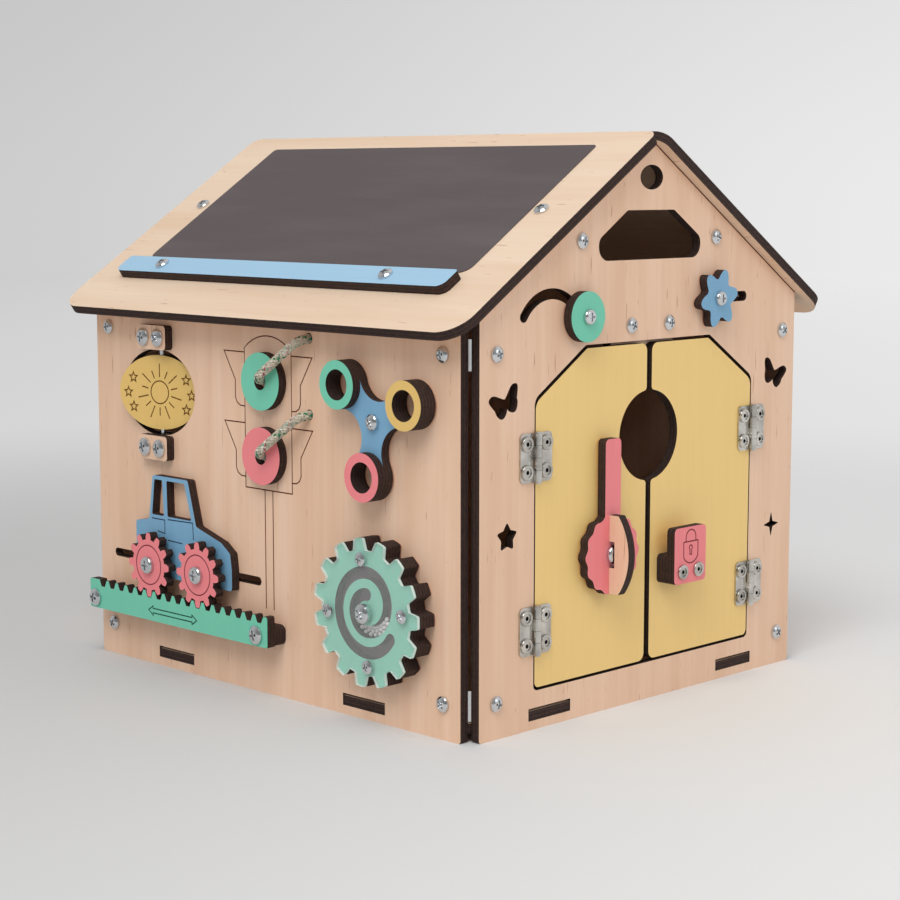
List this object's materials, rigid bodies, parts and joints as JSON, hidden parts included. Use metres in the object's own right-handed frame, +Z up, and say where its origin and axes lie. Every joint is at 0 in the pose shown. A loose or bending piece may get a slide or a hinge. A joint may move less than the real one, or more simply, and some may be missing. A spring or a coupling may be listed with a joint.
{
  "type": "busy house",
  "caption": "Plywood activity house for a small child with latched double doors, spinners, a turning plate, a toothed wheel and a tractor that rolls along a rack.",
  "frame": {"origin": "middle of the overall box at floor level", "axes": "+Z up, -Y the door gable, -X the activity wall"},
  "size_m": [0.354, 0.39, 0.351],
  "materials": {
    "birch_plywood": "bare birch plywood, burnt laser-cut edges",
    "stained_plywood": "honey-coloured stain, burnt edges",
    "yellow_painted_plywood": "matt yellow paint, burnt edges",
    "mint_painted_plywood": "matt mint green paint, burnt edges",
    "pink_painted_plywood": "matt pink paint, burnt edges",
    "blue_painted_plywood": "matt light blue paint, burnt edges",
    "grey_painted_plywood": "matt grey face, burnt edges",
    "chalkboard_film": "matt dark grey chalk surface",
    "clear_acrylic": "clear polished sheet",
    "white_plastic": "smooth white",
    "cotton_rope": "twisted beige strands with coloured flecks",
    "zinc_plated_steel": "bright zinc plate",
    "nickel_plated_steel": "bright nickel plate"
  },
  "bodies": {
    "house": {"axle_blocks": "birch_plywood", "chalk_rail": "blue_painted_plywood", "chalkboard": "chalkboard_film", "corner_brackets": "zinc_plated_steel", "door_stop": "birch_plywood", "flip_axle": "zinc_plated_steel", "floor_panel": "birch_plywood", "gable_back": "birch_plywood", "gable_front": "birch_plywood", "hinge_frame_leaves": "nickel_plated_steel", "hinge_frame_rivets": "nickel_plated_steel", "hinge_pins": "nickel_plated_steel", "inside_nuts": "zinc_plated_steel", "large_screws": "zinc_plated_steel", "pivot_bolts": "zinc_plated_steel", "pivot_washers": "zinc_plated_steel", "rack": "mint_painted_plywood", "rack_spacers": "birch_plywood", "roof_brackets": "zinc_plated_steel", "roof_left": "birch_plywood", "roof_right": "birch_plywood", "rope_green": "cotton_rope", "rope_knots": "cotton_rope", "rope_pink": "cotton_rope", "side_wall_left": "birch_plywood", "side_wall_right": "birch_plywood", "wall_screws": "zinc_plated_steel"},
    "flip": {"flip_plate": "yellow_painted_plywood"},
    "lamp_green": {"lamp_green": "mint_painted_plywood"},
    "lamp_pink": {"lamp_pink": "pink_painted_plywood"},
    "spinner": {"spinner_plate": "blue_painted_plywood", "spinner_ring_green": "mint_painted_plywood", "spinner_ring_pink": "pink_painted_plywood", "spinner_ring_yellow": "yellow_painted_plywood"},
    "gear_wheel": {"gear_back": "grey_painted_plywood", "gear_spiral_plate": "mint_painted_plywood", "gear_cover": "clear_acrylic", "gear_screws": "zinc_plated_steel", "gear_beads": "white_plastic"},
    "tractor": {"tractor_body": "blue_painted_plywood", "tractor_bolts": "zinc_plated_steel", "tractor_washers": "zinc_plated_steel"},
    "wheel_rear": {"wheel_rear": "pink_painted_plywood"},
    "wheel_front": {"wheel_front": "pink_painted_plywood"},
    "disc_carriage": {"disc_peg": "zinc_plated_steel"},
    "disc": {"slider_disc": "mint_painted_plywood"},
    "star_carriage": {"star_peg": "zinc_plated_steel"},
    "star": {"slider_star": "blue_painted_plywood"},
    "left_door": {"door_left": "stained_plywood", "hinge_leaves_left": "nickel_plated_steel", "door_rivets_left": "nickel_plated_steel", "latch_pivot": "zinc_plated_steel"},
    "right_door": {"door_right": "stained_plywood", "hinge_leaves_right": "nickel_plated_steel", "door_rivets_right": "nickel_plated_steel", "keeper_spacers": "birch_plywood", "keeper_cover": "pink_painted_plywood"},
    "latch": {"latch_disc": "pink_painted_plywood", "latch_handle": "birch_plywood"}
  },
  "joints": [
    {"name": "flip_turn", "type": "hinge", "parent": "house", "child": "flip", "pos_m": [-0.1545, 0.1125, 0.1835], "axis": [0, 0, 1], "continuous": true},
    {"name": "lamp_green_spin", "type": "hinge", "parent": "house", "child": "lamp_green", "pos_m": [-0.1575, 0.0025, 0.1985], "axis": [1, 0, 0], "continuous": true},
    {"name": "lamp_pink_spin", "type": "hinge", "parent": "house", "child": "lamp_pink", "pos_m": [-0.1575, 0.0025, 0.152], "axis": [1, 0, 0], "continuous": true},
    {"name": "spinner_spin", "type": "hinge", "parent": "house", "child": "spinner", "pos_m": [-0.1575, -0.1015, 0.182], "axis": [1, 0, 0], "continuous": true},
    {"name": "gear_spin", "type": "hinge", "parent": "house", "child": "gear_wheel", "pos_m": [-0.1575, -0.1005, 0.0695], "axis": [1, 0, 0], "continuous": true},
    {"name": "tractor_slide", "type": "slide", "parent": "house", "child": "tractor", "axis": [0, 1, 0], "range_m": [-0.043, 0.045]},
    {"name": "wheel_rear_spin", "type": "hinge", "parent": "tractor", "child": "wheel_rear", "pos_m": [-0.1575, 0.1075, 0.071], "axis": [1, 0, 0], "range_deg": [-180, 180]},
    {"name": "wheel_front_spin", "type": "hinge", "parent": "tractor", "child": "wheel_front", "pos_m": [-0.1575, 0.0565, 0.071], "axis": [1, 0, 0], "range_deg": [-180, 180]},
    {"name": "disc_swing", "type": "hinge", "parent": "house", "child": "disc_carriage", "pos_m": [-0.09, -0.1725, 0.228], "axis": [0, -1, 0], "range_deg": [-18, 116]},
    {"name": "disc_spin", "type": "hinge", "parent": "disc_carriage", "child": "disc", "pos_m": [-0.06532, -0.1725, 0.24225], "axis": [0, -1, 0], "continuous": true},
    {"name": "star_slide", "type": "slide", "parent": "house", "child": "star_carriage", "axis": [0, 0, 1], "range_m": [-0.0145, 0]},
    {"name": "star_spin", "type": "hinge", "parent": "star_carriage", "child": "star", "pos_m": [0.06, -0.1725, 0.248], "axis": [0, -1, 0], "continuous": true},
    {"name": "left_door_swing", "type": "hinge", "parent": "house", "child": "left_door", "pos_m": [-0.1035, -0.1751, 0.124], "axis": [0, 0, -1], "range_deg": [0, 150]},
    {"name": "right_door_swing", "type": "hinge", "parent": "house", "child": "right_door", "pos_m": [0.1035, -0.1751, 0.124], "axis": [0, 0, 1], "range_deg": [0, 150]},
    {"name": "latch_turn", "type": "hinge", "parent": "left_door", "child": "latch", "pos_m": [-0.042, -0.1725, 0.0983], "axis": [0, -1, 0], "range_deg": [-90, 0]}
  ],
  "couplings": [
    {"joint": "wheel_rear_spin", "follows": "tractor_slide", "rad_per_m": -51.333},
    {"joint": "wheel_front_spin", "follows": "tractor_slide", "rad_per_m": -51.333}
  ]
}
